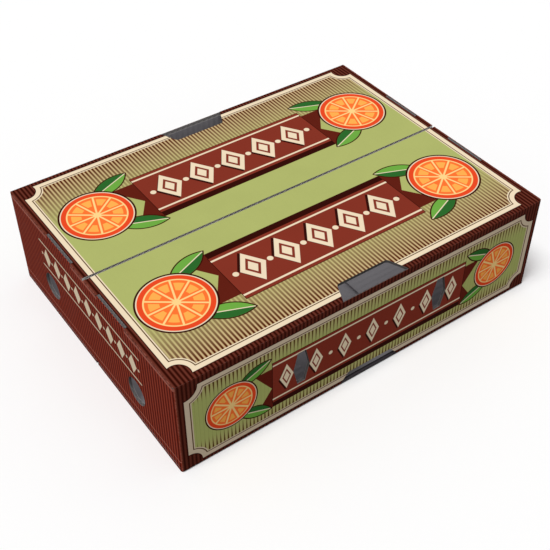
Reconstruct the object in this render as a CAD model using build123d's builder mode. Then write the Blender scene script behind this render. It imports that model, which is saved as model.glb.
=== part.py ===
"""Corrugated fruit box: one die-cut sheet, folded and glued, with two long top flaps that open.

Frame: origin under the middle of the box on the surface it stands on, +X along the length,
+Z up, the front long side towards -Y. Millimetres.
"""
import os

from build123d import *

# Box, measured outside
box_length = 400.0
box_width = 300.0
box_height = 106.0

# Board and folds
board = 3.0
corner_radius = 3.0
fold_radius = 1.5

# Flaps
seam_gap = 3.0
crease_gap = 0.2
flap_rest_gap = 0.3
end_flap_length = 148.0
end_flap_side_gap = 2.0

# Glue lap inside the rear right corner
lap_length = 35.0
lap_end_gap = 2.0

# Cut-out across each long top fold
top_cutout_base = 72.0
top_cutout_inner = 55.0
top_cutout_depth = 20.0
top_cutout_corner = 4.0
top_cutout_wall_drop = 1.0

# Notch at the foot of each long wall, above its bottom flap
foot_notch_base = 64.0
foot_notch_top = 49.0
foot_notch_height = 9.0
foot_notch_corner = 2.0

# Six-sided vents in the long walls
hex_vent_width = 17.0
hex_vent_height = 38.0
hex_vent_flat = 8.5
hex_vent_spacing = 156.0
hex_vent_middle = 53.0

# Round vents in the end walls
round_vent_diameter = 28.0
round_vent_spacing = 160.0
round_vent_middle = 37.0

# Slots in the short edges of the long top flaps, and the end walls' tabs that stand in them
end_slot_length = 48.0
end_slot_spacing = 96.0
tab_clearance = 0.4

# Open flute ends along the seam edges of the long top flaps
liner = 0.4
flute_paper = 0.4
flute_pitch = 6.4
flute_foot = 5.0
flute_crest = 1.4
flute_depth = 8.0

# How far cutting shapes run past the board
overrun = 5.0

# Worked out from the above
half_length = box_length / 2
half_width = box_width / 2
inner_half_length = half_length - board
inner_half_width = half_width - board
end_flap_top = box_height - board - flap_rest_gap
end_flap_half_width = inner_half_width - end_flap_side_gap
end_slot_depth = board + tab_clearance
tab_length = end_slot_length - 2 * tab_clearance
tab_height = box_height - end_flap_top


def long_sheet():
    """Front wall with its bottom and top flaps, folded to a C: the section across the box."""
    with BuildSketch(Plane.YZ) as sheet:
        with BuildLine():
            Polyline(
                (-seam_gap / 2, 0),
                (-half_width, 0),
                (-half_width, box_height),
                (-seam_gap / 2, box_height),
                (-seam_gap / 2, box_height - board),
                (-inner_half_width, box_height - board),
                (-inner_half_width, board),
                (-seam_gap / 2, board),
                close=True,
            )
        make_face()
        fillet(sheet.vertices().group_by(Axis.X)[0], fold_radius)
    return sheet.sketch


def end_sheet():
    """Left end wall with its bottom and top flaps, folded to a C: the section along the box."""
    flap_end = -half_length + end_flap_length
    with BuildSketch(Plane.XZ) as sheet:
        with BuildLine():
            Polyline(
                (flap_end, board),
                (-half_length, board),
                (-half_length, end_flap_top),
                (flap_end, end_flap_top),
                (flap_end, end_flap_top - board),
                (-inner_half_length, end_flap_top - board),
                (-inner_half_length, 2 * board),
                (flap_end, 2 * board),
                close=True,
            )
        make_face()
        fillet(sheet.vertices().group_by(Axis.X)[0], fold_radius)
    return sheet.sketch


def flap_zone(clearance):
    """Room of the front top flap: it ends on the mitre that runs through the outer fold line."""
    shift = clearance * 2**0.5
    with BuildSketch(Plane.YZ) as zone:
        with BuildLine():
            Polyline(
                (-half_width + shift - overrun, box_height + overrun),
                (-inner_half_width + shift, box_height - board),
                (0, box_height - board),
                (0, box_height + overrun),
                close=True,
            )
        make_face()
    return zone.sketch


def tapered_notch(base, inner, depth, corner):
    """Trapezoid on the sketch plane, base on the local X axis, with rounded inner corners."""
    notch = Polygon(
        (-base / 2, 0),
        (base / 2, 0),
        (inner / 2, depth),
        (-inner / 2, depth),
        align=None,
    )
    fillet(notch.vertices().group_by(Axis.Y)[-1], corner)


def flute_opening(rise):
    """Opening beside one wave of the fluted paper, wide at the liner and narrow at the crest."""
    Polygon(
        (-flute_foot / 2, 0),
        (flute_foot / 2, 0),
        (flute_crest / 2, rise),
        (-flute_crest / 2, rise),
        align=None,
    )


def flute_ends():
    """Openings along a top flap's seam edge, under and over the fluted paper in turn."""
    rise = board - 2 * liner - flute_paper
    count = int(box_length / flute_pitch)
    with BuildSketch(Plane.XZ) as ends:
        with Locations((0, box_height - board + liner)):
            with GridLocations(flute_pitch, 0, count, 1):
                flute_opening(rise)
        with Locations((0, box_height - liner)):
            with GridLocations(flute_pitch, 0, count - 1, 1):
                flute_opening(-rise)
    return ends.sketch


# Box body
with BuildPart() as box_body:
    # Long walls with their bottom flaps, mitred along the top folds
    extrude(long_sheet(), amount=half_length, both=True)
    extrude(flap_zone(0), amount=box_length, both=True, mode=Mode.SUBTRACT)
    mirror(about=Plane.XZ)

    # End walls with their inner flaps, and slits between those flaps and the long walls
    extrude(end_sheet(), amount=inner_half_width, both=True)
    mirror(about=Plane.YZ)
    for flap_floor in (board, end_flap_top - board):
        with BuildSketch(Plane.XY.offset(flap_floor)):
            with GridLocations(
                2 * half_length - board - end_flap_length,
                inner_half_width + end_flap_half_width,
                2,
                2,
            ):
                Rectangle(end_flap_length - board, end_flap_side_gap)
        extrude(amount=board, mode=Mode.SUBTRACT)

    # Tabs that stand on the end walls, each cut out of the inner flap beside it
    with BuildSketch(Plane.XY.offset(end_flap_top - board)):
        with GridLocations(2 * inner_half_length - tab_height, end_slot_spacing, 2, 2):
            Rectangle(tab_height, tab_length)
    extrude(amount=board, mode=Mode.SUBTRACT)
    with BuildSketch(Plane.XY.offset(end_flap_top - board)):
        with GridLocations(2 * half_length - board, end_slot_spacing, 2, 2):
            Rectangle(board, tab_length)
    extrude(amount=board + tab_height)

    # Glue lap against the rear wall, and the bend where the right end wall turns into it
    lap_floor = 2 * board + lap_end_gap
    lap_height = end_flap_top - board - lap_end_gap - lap_floor
    with BuildSketch(Plane.XY.offset(lap_floor)):
        with Locations((inner_half_length, inner_half_width)):
            Rectangle(lap_length, board, align=(Align.MAX, Align.MAX))
    extrude(amount=lap_height)
    with BuildSketch(Plane.XY.offset(board)):
        with Locations((half_length, inner_half_width)):
            Rectangle(fold_radius, fold_radius, align=(Align.MAX, Align.MAX))
        with Locations((half_length - fold_radius, inner_half_width - fold_radius)):
            Circle(fold_radius, mode=Mode.SUBTRACT)
    extrude(amount=end_flap_top - board, mode=Mode.SUBTRACT)

    # Upright folds: three round corners, and the raw edge of the rear wall at the glue lap
    with BuildSketch():
        Rectangle(box_length, box_width)
        upright_folds = vertices().sort_by(Axis.X).sort_by(Axis((0, 0, 0), (1, 1, 0)))
        fillet(upright_folds[:-1], corner_radius)
    extrude(amount=box_height, mode=Mode.INTERSECT)

    # Six-sided vents through both long walls
    with BuildSketch(Plane.XZ):
        with Locations(
            (-hex_vent_spacing / 2, hex_vent_middle),
            (hex_vent_spacing / 2, hex_vent_middle),
        ):
            Polygon(
                (-hex_vent_flat / 2, hex_vent_height / 2),
                (-hex_vent_width / 2, 0),
                (-hex_vent_flat / 2, -hex_vent_height / 2),
                (hex_vent_flat / 2, -hex_vent_height / 2),
                (hex_vent_width / 2, 0),
                (hex_vent_flat / 2, hex_vent_height / 2),
            )
    extrude(amount=box_width, both=True, mode=Mode.SUBTRACT)

    # Round vents through both end walls
    with BuildSketch(Plane.YZ):
        with Locations(
            (-round_vent_spacing / 2, round_vent_middle),
            (round_vent_spacing / 2, round_vent_middle),
        ):
            Circle(round_vent_diameter / 2)
    extrude(amount=box_length, both=True, mode=Mode.SUBTRACT)

    # Foot notches, and the drop of the top cut-outs past the fold, in both long walls
    for side in (1, -1):
        wall_plane = Plane.XZ.offset(side * half_width)
        with BuildSketch(wall_plane):
            with Locations((0, board)):
                tapered_notch(foot_notch_base, foot_notch_top, foot_notch_height, foot_notch_corner)
        extrude(amount=-side * board, mode=Mode.SUBTRACT)
        with BuildSketch(wall_plane):
            with Locations((0, box_height - top_cutout_wall_drop)):
                Rectangle(
                    top_cutout_base,
                    top_cutout_wall_drop + overrun,
                    align=(Align.CENTER, Align.MIN),
                )
        extrude(amount=-side * (board + overrun), mode=Mode.SUBTRACT)
box_body.part.label = "box_body"


# Front top flap
with BuildPart() as front_top_flap:
    extrude(long_sheet(), amount=half_length, both=True)
    extrude(flap_zone(crease_gap), amount=box_length, both=True, mode=Mode.INTERSECT)

    # Cut-out on the fold
    with BuildSketch(Plane((0, -half_width, box_height))):
        tapered_notch(top_cutout_base, top_cutout_inner, top_cutout_depth, top_cutout_corner)
        Rectangle(top_cutout_base, overrun, align=(Align.CENTER, Align.MAX))
    extrude(amount=-board, mode=Mode.SUBTRACT)

    # Slots in the short edges
    with BuildSketch(Plane.XY.offset(box_height)):
        with Locations((-half_length, -end_slot_spacing / 2), (half_length, -end_slot_spacing / 2)):
            Rectangle(2 * end_slot_depth, end_slot_length)
    extrude(amount=-board, mode=Mode.SUBTRACT)

    # Flute ends in the seam edge
    extrude(flute_ends(), amount=seam_gap / 2 + flute_depth, mode=Mode.SUBTRACT)

    # Corners follow the upright folds
    with BuildSketch(Plane.XY.offset(box_height)):
        RectangleRounded(box_length, box_width, corner_radius)
    extrude(amount=-board, mode=Mode.INTERSECT)
front_top_flap.part.label = "front_top_flap"


# Rear top flap
with BuildPart() as rear_top_flap:
    mirror(front_top_flap.part, about=Plane.XZ)
rear_top_flap.part.label = "rear_top_flap"


os.makedirs("parts", exist_ok=True)
for piece in (box_body, front_top_flap, rear_top_flap):
    export_step(piece.part, f"parts/{piece.part.label}.step")
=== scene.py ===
"""Corrugated fruit box: print, board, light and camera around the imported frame."""
import math

import bmesh
import bpy
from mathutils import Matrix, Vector


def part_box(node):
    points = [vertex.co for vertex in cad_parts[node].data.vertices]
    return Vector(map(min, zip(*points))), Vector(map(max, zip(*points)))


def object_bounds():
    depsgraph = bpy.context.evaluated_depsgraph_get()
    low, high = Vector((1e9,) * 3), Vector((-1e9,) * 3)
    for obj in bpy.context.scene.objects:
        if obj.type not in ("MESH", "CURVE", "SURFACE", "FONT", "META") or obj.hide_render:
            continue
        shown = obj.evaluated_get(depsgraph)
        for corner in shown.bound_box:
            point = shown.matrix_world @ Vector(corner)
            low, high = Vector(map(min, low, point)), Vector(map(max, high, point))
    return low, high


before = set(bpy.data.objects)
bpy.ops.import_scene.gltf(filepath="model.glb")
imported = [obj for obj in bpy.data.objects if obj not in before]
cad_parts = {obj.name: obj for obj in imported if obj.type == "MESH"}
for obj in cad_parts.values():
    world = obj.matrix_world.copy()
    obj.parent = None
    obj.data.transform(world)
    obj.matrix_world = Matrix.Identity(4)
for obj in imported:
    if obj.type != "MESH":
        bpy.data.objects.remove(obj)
cad_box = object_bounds()

# Sizes of the box in millimetres, read from the frame
MM = 1000.0
box_high = cad_box[1]
half_length = box_high.x * MM
half_width = box_high.y * MM
height = box_high.z * MM
flap_low, flap_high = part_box("front_top_flap")
board = (flap_high.z - flap_low.z) * MM
seam_edge = -flap_high.y * MM

# Folds, flaps and flutes, as the solids have them
corner_radius = 3.0
fold_radius = 1.5
flap_rest_gap = 0.3
end_flap_top = height - board - flap_rest_gap
tab_middle = 48.0
tab_length = 47.2
liner = 0.4
flute_pitch = 6.4
flute_swing = 0.9
flute_depth = 8.0
notch_base = 64.0
notch_slope = 0.8
cutout_base = 72.0

# How near to a face counts as that face, and how soft the edges of the masks are
skin = 0.07
skin_soft = 0.04
fold_soft = 0.1
edge_soft = 0.15
print_soft = 0.3

# Ticket frame, in millimetres
frame_margin = 6.5
wall_end_margin = 7.5
wall_frame_drop = 1.5
frame_outline = 0.9
frame_band = 4.5
frame_gap = 1.0
frame_line = 1.1
top_scoop = {"radius": 11.6, "inset": 3.5}
wall_scoop = {"radius": 12.6, "inset": 0.4}

# Stripes: pitch in millimetres, and the share of it that is inked or soft
stripe_pitch = 3.75
stripe_soft = 0.18
top_border_share = 0.36
wall_border_share = 0.5
border_soft = 0.42
top_stripe_share = 0.56
end_stripe_pitch = 4.4
end_stripe_share = 0.5
end_stripe_soft = 0.16

# Where the flaps' stripes begin and are full, in millimetres from the long folds
top_fade_start = 84.0
top_fade_end = 15.0

# Where the long walls' stripes begin, from the middle, and are full, from the edge, and how wide they get
wall_taper_start = 22.0
wall_taper_edge = 10.0
wall_taper_share = 0.62
wall_taper_clear = 0.06

# Ribbons, leaves and fruit wheels, in millimetres from the middle of the box and of the ribbon
top_ribbon_middle = 70.0
leaf_turn = 158.0
top_layout = {
    "ribbon": {"half_long": 99.0, "half_tall": 30.0, "tail": 25.0},
    "lozenges": {"half_pitch": 18.0, "half_wide": 13.4, "half_tall": 20.5, "reach": 94.0},
    "leaf_place": (119.0, 33.0),
    "leaf": {"length": 46.0, "width": 17.0},
    "wheel_place": 149.0,
    "wheel_radius": 36.0,
}
wall_layout = {
    "ribbon": {"half_long": 108.0, "half_tall": 24.5, "tail": 18.0},
    "lozenges": {"half_pitch": 15.6, "half_wide": 7.2, "half_tall": 15.0, "reach": 102.0},
    "leaf_place": (126.0, 24.0),
    "leaf": {"length": 34.0, "width": 12.0},
    "wheel_place": 149.0,
    "wheel_radius": 26.0,
}

# Rules and lozenges of the end walls, in millimetres, with heights from the foot of the box
low_rule_height = 12.5
low_rule_half = 0.4
end_row_height = 72.0
end_row_reach = 93.0
end_rule_place = 15.0
end_rule_half = 0.8
end_half_pitch = 10.0
end_half_wide = 6.8
end_half_tall = 11.0
end_dot_radius = 1.5

# Noise scales per metre of the paper
fibre_scale = 900.0
cloud_scale = 35.0
blotch_scale = 420.0

# How far the floor lies below the box, in metres, so that the two faces don't coincide, and how
# short the light's way to the floor is where it lets light through to the underside
floor_drop = 0.0003
underside_light = 0.002


def srgb(red, green, blue):
    """A print colour, as eight-bit sRGB, in the linear form that sockets take."""
    def linear(level):
        share = level / 255
        return share / 12.92 if share <= 0.04045 else ((share + 0.055) / 1.055) ** 2.4
    return (linear(red), linear(green), linear(blue), 1.0)


MAROON = srgb(48, 9, 3)
MAROON_STRIPE = srgb(114, 56, 43)
# The walls' stripe ink, darker than the top's, holds painted shade
WALL_STRIPE_PAINTED_SHADE = srgb(100, 46, 34)
END_MAROON = srgb(82, 17, 7)
END_STRIPE = srgb(148, 58, 39)
OUTLINE = srgb(54, 12, 6)
CREAM = srgb(240, 221, 190)
# The walls' cream, darker than the top's, holds painted shade
WALL_CREAM_PAINTED_SHADE = srgb(217, 198, 172)
FIELD = srgb(175, 182, 108)
FIELD_EDGE = srgb(205, 178, 132)
FIELD_STRIPE = srgb(86, 33, 4)
WALL_FIELD_STRIPE = srgb(84, 54, 20)
RIBBON = srgb(132, 51, 37)
RIBBON_TAIL = srgb(96, 31, 20)
RIBBON_FOLD = srgb(50, 13, 8)
RIND = srgb(234, 74, 36)
PITH = srgb(255, 214, 140)
PULP = srgb(255, 118, 52)
PULP_LIGHT = srgb(255, 176, 82)
LEAF = srgb(110, 170, 68)
LEAF_SHADE = srgb(44, 104, 44)
BARE_LINER = srgb(168, 166, 168)
INNER_LINER = srgb(165, 162, 166)
RAW_PAPER = srgb(114, 110, 108)
FLUTE_PAPER = srgb(222, 218, 214)
# Painted shade for the hollow flutes of cut edges, outside and inside the box
FLUTE_PAINTED_SHADE = srgb(86, 84, 84)
INNER_FLUTE_PAINTED_SHADE = srgb(131, 127, 132)
# Painted shade on the board at the foot of the notches
NOTCH_PAINTED_SHADE = srgb(66, 62, 66)
# Pale rubbed paper along the folds, which is also a painted highlight there
SCUFF_AND_HIGHLIGHT = srgb(158, 92, 78)
LOW_RULE = srgb(196, 122, 104)
FLOOR_SEEN = (0.99, 0.99, 0.99, 1.0)
FLOOR_BOUNCE = (0.42, 0.42, 0.42, 1.0)


class Field:
    """A value over a surface: one socket of a material, with Math nodes behind the operators."""

    def __init__(self, tree, socket):
        self.tree = tree
        self.socket = socket

    def node(self, kind, settings=None, inputs=None, output=0):
        """Any node: its settings first, then the values or links of its sockets."""
        made = self.tree.nodes.new(kind)
        for name, value in (settings or {}).items():
            setattr(made, name, value)
        for name, value in (inputs or {}).items():
            if isinstance(value, Field):
                self.tree.links.new(value.socket, made.inputs[name])
            else:
                made.inputs[name].default_value = value
        return Field(self.tree, made.outputs[output])

    def math(self, operation, first, second=None, clamp=False):
        """A Math node on one or two values."""
        inputs = {0: first} if second is None else {0: first, 1: second}
        return self.node("ShaderNodeMath", {"operation": operation, "use_clamp": clamp}, inputs)

    def __add__(self, other):
        return self.math("ADD", self, other)

    __radd__ = __add__

    def __sub__(self, other):
        return self.math("SUBTRACT", self, other)

    def __rsub__(self, other):
        return self.math("SUBTRACT", other, self)

    def __mul__(self, other):
        return self.math("MULTIPLY", self, other)

    __rmul__ = __mul__

    def __truediv__(self, other):
        return self.math("DIVIDE", self, other)

    def __rtruediv__(self, other):
        return self.math("DIVIDE", other, self)

    def __abs__(self):
        return self.math("ABSOLUTE", self)

    def most(self, other):
        return self.math("MAXIMUM", self, other)

    def least(self, other):
        return self.math("MINIMUM", self, other)

    def away(self, other):
        """Distance from the origin of two coordinates."""
        return self.math("SQRT", self * self + other * other)

    def ebb(self, span):
        """Distance to the nearest of the places 0, 2 span, 4 span and so on."""
        return self.math("PINGPONG", self, span)

    def wave(self, pitch):
        """Cosine wave of this pitch, between -1 and 1."""
        turn = self * (math.tau / pitch)
        return self.math("COSINE", turn)

    def ramp(self, start, end):
        """0 at start and 1 at end, held outside them."""
        return self.math("MULTIPLY", self - start, 1 / (end - start), clamp=True)

    def inside(self, soft=print_soft):
        """1 where a signed distance is below zero, 0 where it is above."""
        return self.ramp(soft / 2, -soft / 2)

    def noise(self, scale, detail, roughness=0.5):
        """Cloudy noise between 0 and 1 on this coordinate."""
        settings = {"noise_dimensions": "3D"}
        inputs = {"Vector": self, "Scale": scale, "Detail": detail, "Roughness": roughness}
        return self.node("ShaderNodeTexNoise", settings, inputs)

    def over(self, mask, ink):
        """This colour with an ink printed over it where the mask is 1."""
        return self.node("ShaderNodeMix", {"data_type": "RGBA"}, {0: mask, 6: self, 7: ink}, 2)


def new_material(name):
    """A material with its shader, the Object coordinate and that coordinate's parts in millimetres."""
    material = bpy.data.materials.new(name)
    material.use_nodes = True
    tree = material.node_tree
    shader = tree.nodes["Principled BSDF"]
    point = Field(tree, None).node("ShaderNodeTexCoord", output="Object")
    parts = [
        point.node("ShaderNodeSeparateXYZ", inputs={"Vector": point}, output=axis) * MM
        for axis in "XYZ"
    ]
    return material, shader, point, parts


def ink(start, colour):
    """A plain colour to print over."""
    return start.node("ShaderNodeMix", {"data_type": "RGBA"}, {0: 0.0, 6: colour, 7: colour}, 2)


# Print motifs, drawn on two coordinates in millimetres


def ticket_edge(u, v, half_u, half_v, radius, inset):
    """Distance to a rectangle with corners scooped out by circles set in from them, below zero inside."""
    past_u = abs(u) - half_u
    past_v = abs(v) - half_v
    return past_u.most(past_v).most(radius - (past_u + inset).away(past_v + inset))


def stripes(u, share, soft_share=stripe_soft, pitch=stripe_pitch):
    """Mask of even stripes across one coordinate, hard or soft edged."""
    return (u.ebb(pitch / 2) - share * (pitch / 2)).inside(pitch * soft_share)


def turned(u, v, degrees):
    """The coordinates along and across a direction."""
    turn = math.radians(degrees)
    return u * math.cos(turn) + v * math.sin(turn), v * math.cos(turn) - u * math.sin(turn)


def leaf(paint, u, v, degrees, length, width):
    """Pointed leaf with an outline, a light and a shaded half and a middle vein."""
    outline = 1.3
    vein_half = 0.5
    along, across = turned(u, v, degrees)
    radius = (length * length + width * width) / (4 * width)
    edge = along.away(abs(across) + (radius - width / 2)) - radius
    paint = paint.over((edge - outline).inside(), OUTLINE)
    paint = paint.over(edge.inside(), LEAF)
    paint = paint.over(edge.most(across).inside(), LEAF_SHADE)
    vein = edge.most(abs(across) - vein_half)
    return paint.over(vein.inside(), CREAM)


def citrus_wheel(paint, u, v, radius):
    """Sliced round fruit: outline, pale ring, rind, pith and pulp segments."""
    ring, rind, pith = 0.95 * radius, 0.92 * radius, 0.79 * radius
    pulp_outer, pulp_inner = 0.75 * radius, 0.1 * radius
    glow_outer, glow_inner = 0.66 * radius, 0.4 * radius
    wall_half = 0.9
    glow_inset = 1.6
    half_segment = math.pi / 10
    reach = u.away(v)
    paint = paint.over((reach - radius).inside(), OUTLINE)
    paint = paint.over((reach - ring).inside(), CREAM)
    paint = paint.over((reach - rind).inside(), RIND)
    paint = paint.over((reach - pith).inside(), PITH)
    angle = u.math("ARCTAN2", v, u) + math.pi
    wall = wall_half - angle.ebb(half_segment) * reach
    pulp = wall.most(reach - pulp_outer).most(pulp_inner - reach)
    paint = paint.over(pulp.inside(), PULP)
    glow = (pulp + glow_inset).most(reach - glow_outer).most(glow_inner - reach)
    return paint.over(glow.inside(), PULP_LIGHT)


def lozenge_row(u, v, half_pitch, half_wide, half_tall):
    """Distance to a row of upright lozenges, about true near their sides."""
    slope = half_wide / half_tall
    return (u.ebb(half_pitch) + abs(v) * slope - half_wide) / math.hypot(1, slope)


def ribbon(paint, u, v, half_long, half_tall, tail):
    """Straight ribbon with swallow tails behind it and two pin lines."""
    tail_drop = 0.24 * half_tall
    tail_cut = 0.7
    outline = 0.7
    pin_place = 0.85 * half_tall
    pin_half = 0.035 * half_tall
    drop = abs(v + tail_drop)
    tail_end = half_long + tail - tail_cut * (half_tall - drop)
    paint = paint.over((drop - half_tall).most(abs(u) - tail_end).inside(), RIBBON_TAIL)
    within = abs(u) - half_long
    paint = paint.over(within.most(drop - half_tall).inside(), RIBBON_FOLD)
    body = within.most(abs(v) - half_tall)
    paint = paint.over((body - outline).inside(), OUTLINE)
    paint = paint.over(body.inside(), RIBBON)
    pin = abs(abs(v) - pin_place) - pin_half
    return paint.over(pin.most(within).inside(), CREAM)


def lozenge_band(paint, u, v, half_pitch, half_wide, half_tall, reach):
    """Row of shadowed lozenges with a ring inside each and dots between them."""
    shade = 0.09 * half_tall
    dot_radius = 0.14 * half_tall
    ring_inset = 0.42 * half_wide
    ring_half = 0.09 * half_wide
    bound = abs(u) - reach
    shadow = lozenge_row(u + shade, v + shade, half_pitch, half_wide, half_tall)
    paint = paint.over(shadow.most(bound).inside(), RIBBON_FOLD)
    lozenge = lozenge_row(u, v, half_pitch, half_wide, half_tall)
    dot = (u.ebb(half_pitch) - half_pitch).away(v) - dot_radius
    paint = paint.over(lozenge.least(dot).most(bound).inside(), CREAM)
    ring = abs(lozenge + ring_inset) - ring_half
    return paint.over(ring.most(bound).inside(), RIBBON)


def framed_field(paint, edge, cream, field):
    """Cream ticket frame with its inner line, and the field inside it."""
    paint = paint.over((edge - frame_outline).inside(), OUTLINE)
    paint = paint.over(edge.inside(), cream)
    paint = paint.over((edge + frame_band).inside(), WALL_FIELD_STRIPE)
    paint = paint.over((edge + (frame_band + frame_gap)).inside(), cream)
    return paint.over((edge + (frame_band + frame_gap + frame_line)).inside(), field)


def striped_border(u, stripe, share):
    """Brown border with soft upright stripes."""
    return ink(u, MAROON).over(stripes(u, share, border_soft), stripe)


def ribbon_and_wheels(paint, x, rise, layout):
    """Ribbon with its lozenges, and a fruit wheel with two leaves near each end."""
    side = abs(x)
    paint = ribbon(paint, x, rise, **layout["ribbon"])
    paint = lozenge_band(paint, x, rise, **layout["lozenges"])
    leaf_side, leaf_rise = layout["leaf_place"]
    for lift in (1, -1):
        paint = leaf(paint, side - leaf_side, rise - lift * leaf_rise, lift * leaf_turn, **layout["leaf"])
    return citrus_wheel(paint, side - layout["wheel_place"], rise, layout["wheel_radius"])


def top_print(x, y):
    """Print of both long flaps: one frame around them, a ribbon and two fruit wheels on each."""
    edge = ticket_edge(x, y, half_length - frame_margin, half_width - frame_margin, **top_scoop)
    fade = abs(y).ramp(half_width - top_fade_start, half_width - top_fade_end)
    field = ink(x, FIELD).over(fade, FIELD_EDGE)
    field = field.over(stripes(x, top_stripe_share) * fade, FIELD_STRIPE)
    border = striped_border(x, MAROON_STRIPE, top_border_share)
    paint = framed_field(border, edge, CREAM, field)
    return ribbon_and_wheels(paint, x, abs(y) - top_ribbon_middle, top_layout)


def wall_print(x, z):
    """Print of a long wall: its own frame, a ribbon and a fruit wheel near each end."""
    rise = z - (height / 2 - wall_frame_drop)
    half_tall = height / 2 - frame_margin
    edge = ticket_edge(x, rise, half_length - wall_end_margin, half_tall, **wall_scoop)
    taper = abs(rise).ramp(wall_taper_start, height / 2 - wall_taper_edge)
    taper = taper * wall_taper_share - wall_taper_clear
    field = ink(x, FIELD).over(taper, FIELD_EDGE).over(stripes(x, taper), WALL_FIELD_STRIPE)
    # The walls' border and frame take darker inks with painted shade
    border = striped_border(x, WALL_STRIPE_PAINTED_SHADE, wall_border_share)
    paint = framed_field(border, edge, WALL_CREAM_PAINTED_SHADE, field)
    return ribbon_and_wheels(paint, x, rise, wall_layout)


def end_print(y, z):
    """Print of an end wall: upright stripes, a low rule and a lozenge row between two rules."""
    bars = stripes(y, end_stripe_share, end_stripe_soft, end_stripe_pitch)
    paint = ink(y, END_MAROON).over(bars, END_STRIPE)
    paint = paint.over((abs(z - low_rule_height) - low_rule_half).inside(), LOW_RULE)
    rise = z - end_row_height
    bound = abs(y) - end_row_reach
    rule = abs(abs(rise) - end_rule_place) - end_rule_half
    lozenge = lozenge_row(y, rise, end_half_pitch, end_half_wide, end_half_tall)
    dot = (y.ebb(end_half_pitch) - end_half_pitch).away(rise) - end_dot_radius
    return paint.over(rule.least(lozenge).least(dot).most(bound).inside(), CREAM)


# Board under the print


def board_edge(paint, depth, along, mask, paper_tone=RAW_PAPER, flute_painted_shade=FLUTE_PAINTED_SHADE):
    """Cut edge of the board: two liners, and the fluted paper as a wave between them, with painted shade
    in the hollow flutes.
    """
    paper_half = 0.25
    paper = abs(depth - board / 2 - along.wave(flute_pitch) * flute_swing) - paper_half
    faces = (depth - liner).least(board - liner - depth)
    # Painted shade fills the hollows between the liners and the wave
    raw = ink(depth, flute_painted_shade).over(paper.least(faces).inside(edge_soft), paper_tone)
    return paint.over(mask, raw)


def finish_board(shader, point, paint, printed, wear_and_highlight, along):
    """Paper grain, washboard over the flutes, scuffed folds with a painted highlight along them and a
    matt print on one shader.
    """
    scuff_and_highlight_start, scuff_and_highlight_full = 0.36, 0.66
    base_tone, cloud_tone, fibre_tone = 0.92, 0.10, 0.06
    bare_wave, wave_under_print = 0.2, 0.18
    fibre_height, blotch_height = 0.035, 0.02
    bump_strength, bump_distance = 0.6, 0.001
    bare_rough, print_gloss, cloud_rough, scuff_and_highlight_rough = 0.78, 0.24, 0.08, 0.15
    matt_specular = 0.006

    fibre = point.noise(fibre_scale, detail=3.0, roughness=0.6)
    cloud = point.noise(cloud_scale, detail=3.0)
    blotch = point.noise(blotch_scale, detail=4.0, roughness=0.65)
    # Pale rubbed patches near the folds, partly wear and partly a painted highlight
    scuff_and_highlight = wear_and_highlight * blotch.ramp(scuff_and_highlight_start, scuff_and_highlight_full)
    paint = paint.over(scuff_and_highlight, SCUFF_AND_HIGHLIGHT)
    shade = cloud * cloud_tone + fibre * fibre_tone + base_tone
    shade = shade.node("ShaderNodeCombineColor", inputs={0: shade, 1: shade, 2: shade})
    blend = {"data_type": "RGBA", "blend_type": "MULTIPLY"}
    paint = paint.node("ShaderNodeMix", blend, {0: 1.0, 6: paint, 7: shade}, 2)
    washboard = along.wave(flute_pitch) * (bare_wave - printed * wave_under_print)
    grain = fibre * fibre_height + blotch * blotch_height + washboard
    lift = {"Height": grain, "Strength": bump_strength, "Distance": bump_distance}
    bump = grain.node("ShaderNodeBump", inputs=lift)
    rough = bare_rough - printed * print_gloss + cloud * cloud_rough + scuff_and_highlight * scuff_and_highlight_rough
    for name, value in (("Base Color", paint), ("Roughness", rough), ("Normal", bump)):
        shader.id_data.links.new(value.socket, shader.inputs[name])
    shader.inputs["Specular IOR Level"].default_value = matt_specular


def flap_material():
    """Long flaps: print on top, bare liner below, raw board along the cut edges."""
    seam_margin = 1.0
    mitre_clear = 0.4
    fold_wrap, wrap_depth = 1.6, 0.5
    edge_wrap = 1.8
    wear_and_highlight_start, wear_and_highlight_full = 0.9, 0.2

    material, shader, point, (x, y, z) = new_material("printed_flap")
    depth = height - z
    fold = half_width - abs(y)
    short_edge = (half_length - skin - abs(x)).inside(skin_soft)
    seam = (abs(y) - (seam_edge + flute_depth + seam_margin)).inside()
    # Painted flutes with painted shade in their hollows, except along the seam, whose flutes are real
    paint = board_edge(ink(x, FLUTE_PAPER), depth, x, 1 - seam)
    # A pale line on the short edges, partly wear and partly a painted highlight
    paint = paint.over(short_edge, SCUFF_AND_HIGHLIGHT)
    under = (board - skin - depth).least(fold - depth - mitre_clear).inside(skin_soft)
    paint = paint.over(under, INNER_LINER)
    round_fold = (fold - fold_wrap).inside() * wrap_depth
    printed = (depth - skin - round_fold).least(depth - edge_wrap * short_edge).inside(skin_soft)
    paint = paint.over(printed, top_print(x, y))
    border = (half_length - abs(x)).least(fold)
    # Near the folds and short edges: wear and a painted highlight
    wear_and_highlight = border.ramp(wear_and_highlight_start, wear_and_highlight_full) * printed
    finish_board(shader, point, paint, printed, wear_and_highlight, x)
    return material


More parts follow.
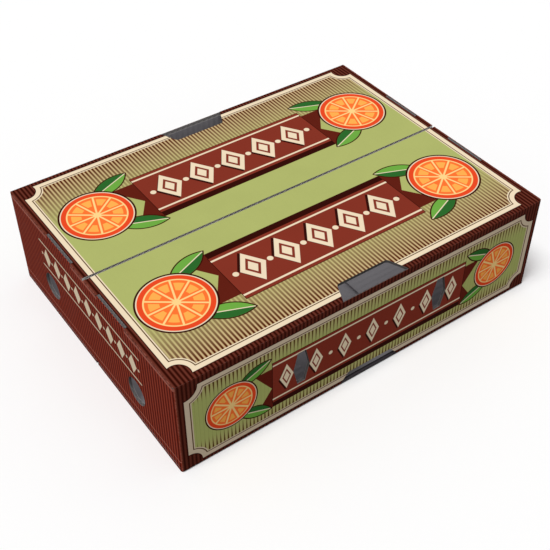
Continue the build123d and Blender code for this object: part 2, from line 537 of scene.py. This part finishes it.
def wall_material():
    """Box body: print on the walls, bare board on the flaps, bare liner inside, raw cut edges."""
    fold_margin = 0.2
    wrap_depth = 0.5
    wear_and_highlight_start, wear_and_highlight_full = 1.2, 2.2

    # How deep a place is below the walls' outer faces, and which wall it is nearest to
    material, shader, point, (x, y, z) = new_material("printed_wall")
    past_x = abs(x) - (half_length - corner_radius)
    past_y = abs(y) - (half_width - corner_radius)
    rounded = past_x.most(0.0).away(past_y.most(0.0))
    depth = corner_radius - rounded - past_x.most(past_y).least(0.0)
    long_side = (past_x - past_y).inside(fold_soft)
    across = y + long_side * (x - y)

    # Liners, cut edges of walls and flaps with painted shade in their flutes, and the mitres along the
    # top folds
    paint = ink(x, INNER_LINER)
    bare = (end_flap_top - skin - z).least(z - skin).inside(skin_soft)
    paint = paint.over(bare, BARE_LINER)
    cut_wall = (depth - (board - skin)).most(skin - depth).inside(skin_soft)
    paint = board_edge(paint, depth, across, cut_wall)
    deep = (board + skin - depth).inside(skin_soft)
    for flap_floor, run in ((0.0, x), (board, y), (end_flap_top - board, y)):
        level = z - flap_floor
        layer = (level - (board - skin)).most(skin - level).inside(skin_soft)
        # Cut edges of the flaps inside the box, with painted shade in their flutes
        paint = board_edge(paint, level, run, layer * deep, INNER_LINER, INNER_FLUTE_PAINTED_SHADE)
    mitre = abs((height - z) - (half_width - abs(y))) - skin
    mitre = mitre.most(height - board - z).most(cutout_base / 2 - abs(x))
    paint = paint.over(mitre.inside(skin_soft), INNER_LINER)

    # Print, which also wraps round the folds and the bend at the glue lap
    fold = (z - fold_radius - fold_margin).least(height - board - z).inside(fold_soft)
    tab = (abs(abs(y) - tab_middle) - tab_length / 2 - skin).inside(skin_soft)
    end_fold = (end_flap_top - fold_radius - z).most(depth - fold_radius).inside(fold_soft)
    end_fold = end_fold * (1 - long_side) * (1 - tab)
    bend = abs(y - (half_width - board - fold_radius / 2)) - fold_radius / 2
    bend = (half_length - fold_radius - x).most(bend).inside(fold_soft)
    printed = (depth - skin - fold * wrap_depth).inside(skin_soft).most(end_fold).most(bend)
    sides = end_print(y, z).over(long_side, wall_print(x, z))
    # A pale line round the end folds, partly wear and partly a painted highlight
    sides = sides.over(end_fold, SCUFF_AND_HIGHLIGHT)
    paint = paint.over(printed, sides)

    # Painted shade on the folded board in the foot notches, and the raw edge at the glue lap with painted
    # shade in its flutes
    notch_shade = abs(x) + (z - board) * notch_slope - notch_base / 2
    notch_shade = notch_shade.most(z - board - skin).most(depth - board - skin).inside(skin_soft) * long_side
    # The notch floor is painted dark as shade
    paint = paint.over(notch_shade, NOTCH_PAINTED_SHADE)
    lap_edge = (half_length - skin - x).most(half_width - board - y).inside(skin_soft)
    paint = board_edge(paint, half_width - y, x, lap_edge)

    # Near the upright corners: wear and a painted highlight
    wear_and_highlight = past_x.least(past_y).ramp(wear_and_highlight_start, wear_and_highlight_full) * printed
    on_flap = y + (z - board - skin).inside(skin_soft) * (x - y)
    finish_board(shader, point, paint, printed, wear_and_highlight, across + deep * (on_flap - across))
    return material


# Materials on the solids
flap_finish = flap_material()
wall_finish = wall_material()
for node_name, finish in (
    ("box_body", wall_finish),
    ("front_top_flap", flap_finish),
    ("rear_top_flap", flap_finish),
):
    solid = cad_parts[node_name]
    solid.data.materials.clear()
    solid.data.materials.append(finish)


# Stage


def background_rays(tree):
    """1 for the rays that see the background: from the camera, or by way of gloss or glass."""
    path = tree.nodes.new("ShaderNodeLightPath")
    camera, glossy, through = (
        Field(tree, path.outputs[name])
        for name in ("Is Camera Ray", "Is Glossy Ray", "Is Transmission Ray")
    )
    return camera.most(glossy).most(through)


def floor_material():
    """White to the camera, grey to the light that it throws back on the box, clear from below."""
    material, shader, _, (x, y, _) = new_material("floor_white")
    tree = material.node_tree
    seen = background_rays(tree)
    tone = ink(seen, FLOOR_BOUNCE).over(seen, FLOOR_SEEN)
    tree.links.new(tone.socket, shader.inputs["Base Color"])
    shader.inputs["Roughness"].default_value = 0.9
    shader.inputs["Specular IOR Level"].default_value = 0.0

    # Under the box the floor also lets light through to the underside
    below = seen.node("ShaderNodeNewGeometry", output="Backfacing")
    footprint = (abs(x) - half_length).most(abs(y) - half_width) + corner_radius
    run = seen.node("ShaderNodeLightPath", output="Ray Length")
    underside = footprint.inside() * run.math("LESS_THAN", run, underside_light)
    opaque = Field(tree, shader.outputs["BSDF"])
    clear = seen.node("ShaderNodeBsdfTransparent")
    layers = {0: below.most(underside), 1: opaque, 2: clear}
    surface = seen.node("ShaderNodeMixShader", inputs=layers)
    tree.links.new(surface.socket, tree.nodes["Material Output"].inputs["Surface"])
    return material


def pale_floor():
    """Broad plain floor just under the box."""
    floor_half = 4.0
    mesh = bpy.data.meshes.new("floor")
    sheet = bmesh.new()
    bmesh.ops.create_grid(sheet, x_segments=1, y_segments=1, size=floor_half)
    bmesh.ops.translate(sheet, verts=sheet.verts, vec=(0.0, 0.0, -floor_drop))
    sheet.to_mesh(mesh)
    sheet.free()
    floor = bpy.data.objects.new("floor", mesh)
    bpy.context.scene.collection.objects.link(floor)
    mesh.materials.append(floor_material())


def studio_light():
    """An even sky, a broad key lamp a little to the left, and a weak fill lamp inside the box."""
    ambient = 0.3
    key_heading = Vector((0.31, 0.1, -0.945))
    fill_setback = 0.025

    world = bpy.data.worlds.new("studio")
    bpy.context.scene.world = world
    world.use_nodes = True
    sky = world.node_tree.nodes["Background"]
    strength = background_rays(world.node_tree) * (1 - ambient) + ambient
    sky.inputs["Color"].default_value = (1.0, 1.0, 1.0, 1.0)
    world.node_tree.links.new(strength.socket, sky.inputs["Strength"])

    lamp = bpy.data.lights.new("key", "SUN")
    lamp.energy = 2.37
    lamp.angle = math.radians(24)
    key = bpy.data.objects.new("key", lamp)
    key.rotation_euler = key_heading.to_track_quat("-Z", "Y").to_euler()
    bpy.context.scene.collection.objects.link(key)

    glow = bpy.data.lights.new("inside_fill", "AREA")
    glow.shape = "RECTANGLE"
    glow.size = 0.38
    glow.size_y = 0.23
    glow.energy = 0.116
    fill = bpy.data.objects.new("inside_fill", glow)
    fill.location = (0.0, fill_setback, height / 2 / MM)
    fill.visible_camera = False
    bpy.context.scene.collection.objects.link(fill)


def photo_camera():
    """Camera at the photograph's viewing angle."""
    azimuth = math.radians(-35.37)
    elevation = math.radians(42.59)
    distance = 0.9812
    target = Vector((0.0008, 0.0, 0.0044))
    back = Vector((
        math.sin(azimuth) * math.cos(elevation),
        -math.cos(azimuth) * math.cos(elevation),
        math.sin(elevation),
    ))
    lens = bpy.data.cameras.new("photo")
    lens.sensor_width = 36.0
    lens.lens = 63.68
    lens.clip_end = 50.0
    camera = bpy.data.objects.new("photo", lens)
    camera.location = target + back * distance
    camera.rotation_euler = back.to_track_quat("Z", "Y").to_euler()
    bpy.context.scene.collection.objects.link(camera)
    bpy.context.scene.camera = camera


pale_floor()
studio_light()
photo_camera()
bpy.context.scene.view_settings.view_transform = "Standard"
